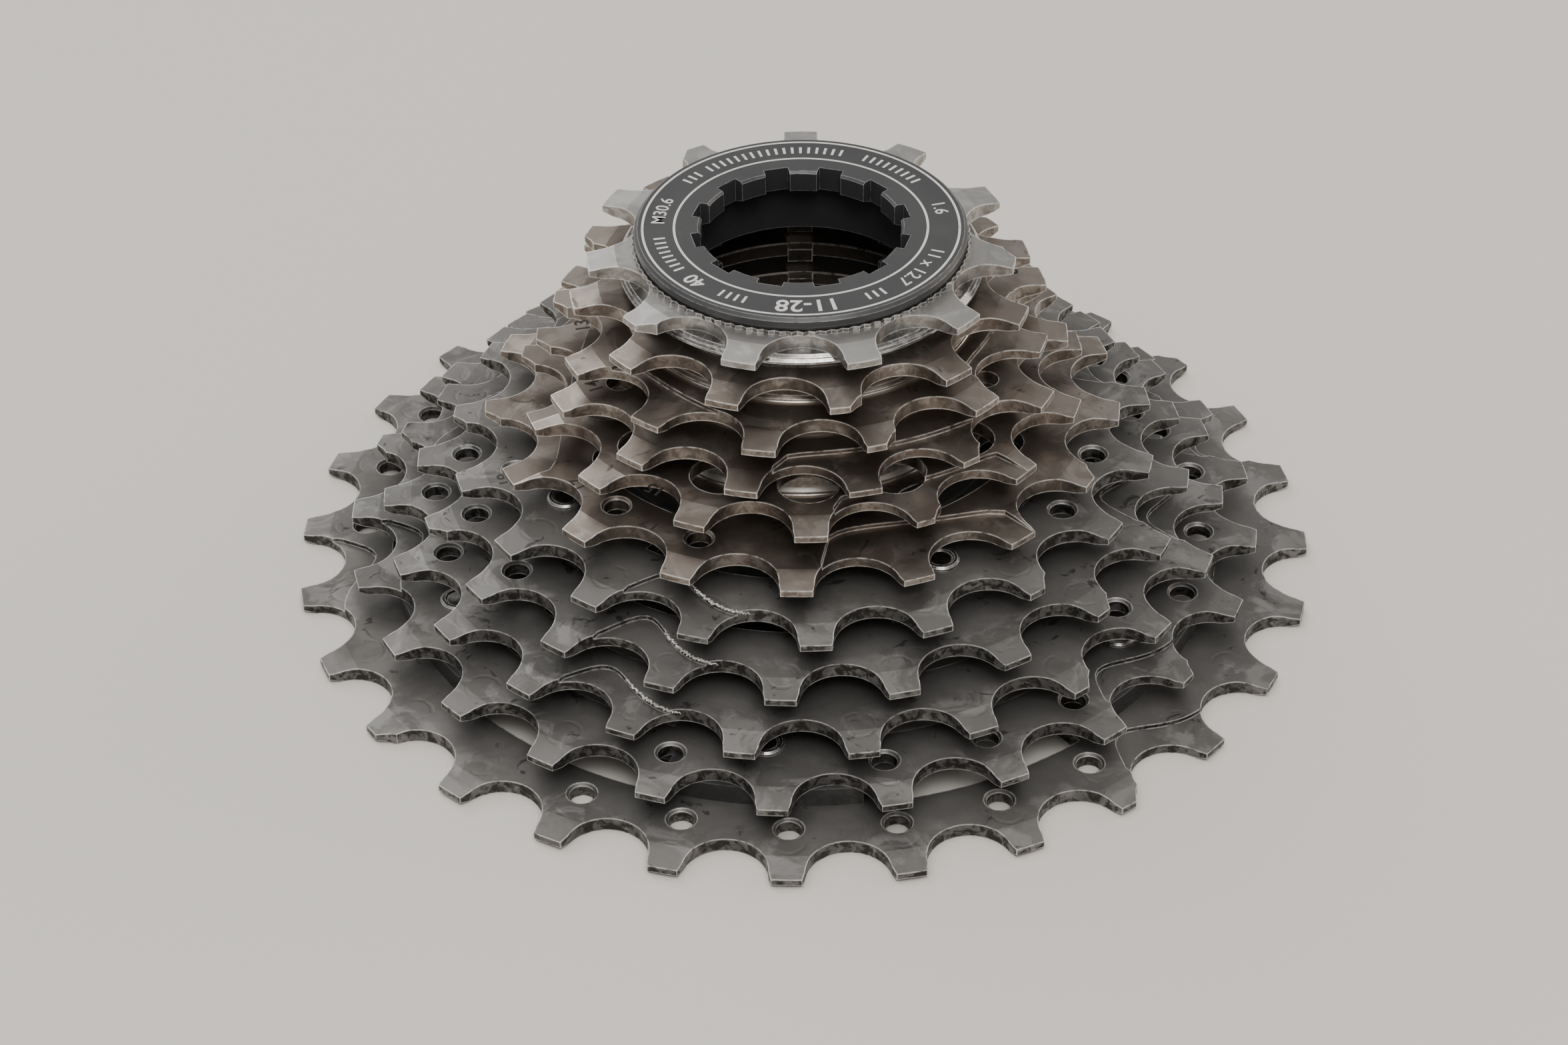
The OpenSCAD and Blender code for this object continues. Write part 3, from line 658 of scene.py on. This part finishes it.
def arcBlock(outline, angleFrom, angleTo, steps):  # a short flat bar bent round the axis
    vertices = []
    for k in range(steps + 1):
        angle = math.radians(angleFrom + (angleTo - angleFrom) * k / steps)
        vertices += [(r * mm * math.cos(angle), r * mm * math.sin(angle), z) for r, z in outline]
    return vertices, tubeFaces(steps, len(outline))


def joinShapes(shapes):
    vertices = []
    faces = []
    for some, more in shapes:
        start = len(vertices)
        vertices += some
        faces += [tuple(start + i for i in face) for face in more]
    return vertices, faces


capitalShare = 0.72   # capitals are this much of the font's size


def writeFigures(name, text, height, weight, radius, angle, top, proud, material, body):
    data = bpy.data.curves.new(name, "FONT")
    data.body = text
    data.size = height * mm / capitalShare
    data.align_x = "CENTER"
    data.align_y = "CENTER"
    data.extrude = proud * mm
    data.offset = weight * mm
    data.resolution_u = 3
    helper = bpy.data.objects.new(name + "_outline", data)
    bpy.context.scene.collection.objects.link(helper)
    bpy.context.view_layer.update()
    graph = bpy.context.evaluated_depsgraph_get()
    mesh = bpy.data.meshes.new_from_object(helper.evaluated_get(graph))
    bpy.data.objects.remove(helper)
    turn = math.radians(angle)
    for vertex in mesh.vertices:   # wrap the line of figures round the axis
        around = turn - vertex.co.x / (radius * mm)
        r = radius * mm + vertex.co.y
        vertex.co = (r * math.cos(around), r * math.sin(around), top + vertex.co.z)
    mesh.materials.clear()
    mesh.materials.append(material)
    piece = bpy.data.objects.new(name, mesh)
    bpy.context.scene.collection.objects.link(piece)
    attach(piece, body)


def printLockRing(look):
    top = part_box("lock_ring")[1].z
    ink = paint("lockRingInk", look["colour"], look["roughness"])
    low = top - 2 * look["proud"] * mm
    high = top + look["proud"] * mm
    circles = []
    for key in ("innerCircle", "outerCircle"):
        circles.append(turnedRing(barOutline(look[key], look["line"], low, high), look["sides"]))
    addPiece("lock_ring_circles", *joinShapes(circles), ink, "lock_ring_body", "black_anodised")
    bars = []
    outline = barOutline(look["textRadius"], look["dashHalf"], low, high)
    for start, end in look["dashes"]:
        angle = start
        while angle < end:
            bars.append(arcBlock(outline, angle, angle + look["dash"], look["dashSides"]))
            angle += look["dashStep"]
    addPiece("lock_ring_dashes", *joinShapes(bars), ink, "lock_ring_body", "black_anodised")
    for number, (angle, text, height, weight) in enumerate(look["figures"]):
        writeFigures("lock_ring_figures_%d" % number, text, height, weight,
                     look["textRadius"], angle, top, look["proud"], ink, "lock_ring_body")


printLockRing(lockPrint)
print("lock ring print made")


# thin polished rims at the foot of two spacers, and the lock ring's thread

rims = {
    "colour": (0.62, 0.58, 0.53, 1), "roughness": 0.28, "metallic": 1.0,
    "height": 0.26, "web": 0.06, "bead": 0.24, "bevel": 0.08, "sides": 192,   # mm
    # rim: body, material slot, inner and outer radius in mm, the sprocket it stands on
    "places": {
        "spacer_12_rim": ("sprocket_12_body", "nickel", 18.7, 19.20, "sprocket_13"),
        "spacer_13_rim": ("spacer_13_body", "nickel", 18.7, 19.55, "sprocket_14"),
        "spacer_14_rim": ("spacer_14_body", "black_spacer", 18.7, 19.30, "sprocket_15"),
        "spacer_15_rim": ("spacer_15_body", "black_spacer", 19.1, 19.65, "sprocket_17"),
    },
}


def addRims(look):
    shine = paint("polishedRim", look["colour"], look["roughness"], look["metallic"])
    for name, (body, slot, inner, outer, below) in look["places"].items():
        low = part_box(below)[1].z
        high = low + look["height"] * mm
        web = low + look["web"] * mm
        corner = look["bevel"]
        crest = outer - look["bead"]
        profile = [
            (inner, low), (outer, low), (outer, high - corner * mm), (outer - corner, high),
            (crest, high), (crest - corner, web), (inner, web),
        ]
        addPiece(name, *turnedRing(profile, look["sides"]), shine, body, slot)


thread = {
    # mm; foot and land are half the ridge's width at its root and crest
    "root": 14.85, "crest": 15.28, "pitch": 1.0, "foot": 0.36, "land": 0.06,
    "turns": 6, "sidesPerTurn": 72,
    "below": 0.6,                      # pitches from the washer to the first ridge
    "fadeSides": 12, "least": 0.02,    # the ridge rises and dies over this many sides, from this share
    "colour": (0.10, 0.10, 0.105, 1), "roughness": 0.3, "metallic": 0.5,
}


def addThread(look):  # a ridge that winds down the outside of the lock ring's sleeve
    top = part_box("lock_washer")[0].z - look["pitch"] * look["below"] * mm
    steps = look["turns"] * look["sidesPerTurn"]
    vertices = []
    for k in range(steps + 1):
        turn = k / look["sidesPerTurn"]
        angle = 2 * math.pi * turn
        middle = top - turn * look["pitch"] * mm
        fade = min(1, k / look["fadeSides"], (steps - k) / look["fadeSides"])
        crest = look["root"] + (look["crest"] - look["root"]) * max(fade, look["least"])
        ridge = [(look["root"], look["foot"]), (crest, look["land"]),
                 (crest, -look["land"]), (look["root"], -look["foot"])]
        for r, z in ridge:
            vertices.append((r * mm * math.cos(angle), r * mm * math.sin(angle), middle + z * mm))
    dark = paint("threadBlack", look["colour"], look["roughness"], look["metallic"])
    faces = tubeFaces(steps, 4)
    addPiece("lock_ring_thread_ridge", vertices, faces, dark, "lock_ring_body", "black_anodised")


addRims(rims)
addThread(thread)
print("rims and thread made")


# tooth counts stamped beside the teeth

stamps = {
    "height": 1.6, "weight": 0.03, "proud": 0.012,   # mm
    "colour": (0.055, 0.048, 0.040, 1), "roughness": 0.5, "metallic": 0.6,
    # sprocket: radius in mm and angle in degrees of each stamp
    "places": {
        "sprocket_13": [(24.0, 190), (23.6, 14)],
        "sprocket_14": [(24.4, 204), (24.6, 42)],
        "sprocket_15": [(28.0, 236)],
        "sprocket_17": [(29.2, 215), (29.0, 236)],
        "sprocket_19": [(34.2, 198), (34.2, 20)],
    },
}


def stampCounts(look):
    shade = paint("stampShade", look["colour"], look["roughness"], look["metallic"])
    for node, marks in look["places"].items():
        teeth = stack[node][0]
        body = "small_unit" if node == "sprocket_19" else node + "_body"
        for number, (radius, angle) in enumerate(marks):
            writeFigures("%s_stamp_%d" % (node, number), str(teeth), look["height"], look["weight"],
                         radius, angle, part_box(node)[1].z, look["proud"], shade, body)


stampCounts(stamps)
print("stamps made")


# ragged burrs that worn ramps carry along their trailing edge

burrs = {
    "steps": 90,
    "width": (0.06, 0.60), "height": (0.03, 0.34), "wander": 0.34,   # mm; width and height are least and most
    "rim": 0.8, "start": 0.22, "pitches": 1.24, "taper": 2.4,        # as the ramps are cut
    "from": 0.42, "to": 0.97,                  # shares of a ramp's length
    "smoothWidth": 0.6, "smoothHeight": 0.5,   # how much each step keeps of the one before
    "fade": 0.4, "least": 0.05,                # towards both ends
    "profile": ((-1, -0.25), (-0.6, 0.7), (0.1, 1.0), (0.7, 0.5), (1, -0.25)),   # across and up
    "colour": (0.66, 0.64, 0.61, 1), "roughness": 0.30, "metallic": 0.5,
    # sprocket: tooth that the ramp starts beside, and how far in it reaches in mm
    "ramps": {"sprocket_19": (-2, 4.2), "sprocket_21": (-2, 4.9), "sprocket_23": (-3, 3.9)},
}


def rampPoint(node, tooth, reach, share):
    teeth = stack[node][0]
    angle = toothAngle(node, tooth + burrs["start"] + burrs["pitches"] * share)
    dip = reach * math.sin(math.pi * math.sqrt(share)) ** burrs["taper"]
    radius = pitchRadius(teeth) + (burrs["rim"] - chain["rollerSeat"] - dip) * mm
    return Vector((radius * math.cos(angle), radius * math.sin(angle), 0))


def between(limits, share):
    return limits[0] + (limits[1] - limits[0]) * share


def addBurr(node, tooth, reach, material, body):
    draw = random.Random(len(node) + stack[node][0])
    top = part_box(node)[1].z
    steps = burrs["steps"]
    profile = burrs["profile"]
    keepWidth = burrs["smoothWidth"]
    keepHeight = burrs["smoothHeight"]
    vertices = []
    wide = high = 0.5
    for k in range(steps + 1):
        share = between((burrs["from"], burrs["to"]), k / steps)
        here = rampPoint(node, tooth, reach, share)
        ahead = (rampPoint(node, tooth, reach, min(share + 0.01, 0.999)) - here).normalized()
        side = Vector((-ahead.y, ahead.x, 0))
        wide = keepWidth * wide + (1 - keepWidth) * draw.random()
        high = keepHeight * high + (1 - keepHeight) * draw.random() ** 2
        fade = max(math.sin(math.pi * k / steps) ** burrs["fade"], burrs["least"])
        half = between(burrs["width"], wide) * mm * fade / 2
        lift = between(burrs["height"], high) * mm * fade
        middle = here + side * (draw.random() - 0.5) * burrs["wander"] * mm
        for out, up in profile:
            point = middle + side * out * half
            vertices.append((point.x, point.y, top + up * lift))
    addPiece(node + "_burr", vertices, tubeFaces(steps, len(profile)), material, body, "titanium")


burrMetal = paint("burrMetal", burrs["colour"], burrs["roughness"], burrs["metallic"])
for node, (tooth, reach) in burrs["ramps"].items():
    addBurr(node, tooth, reach, burrMetal, "large_unit" if node == "sprocket_23" else "small_unit")
print("burrs made")
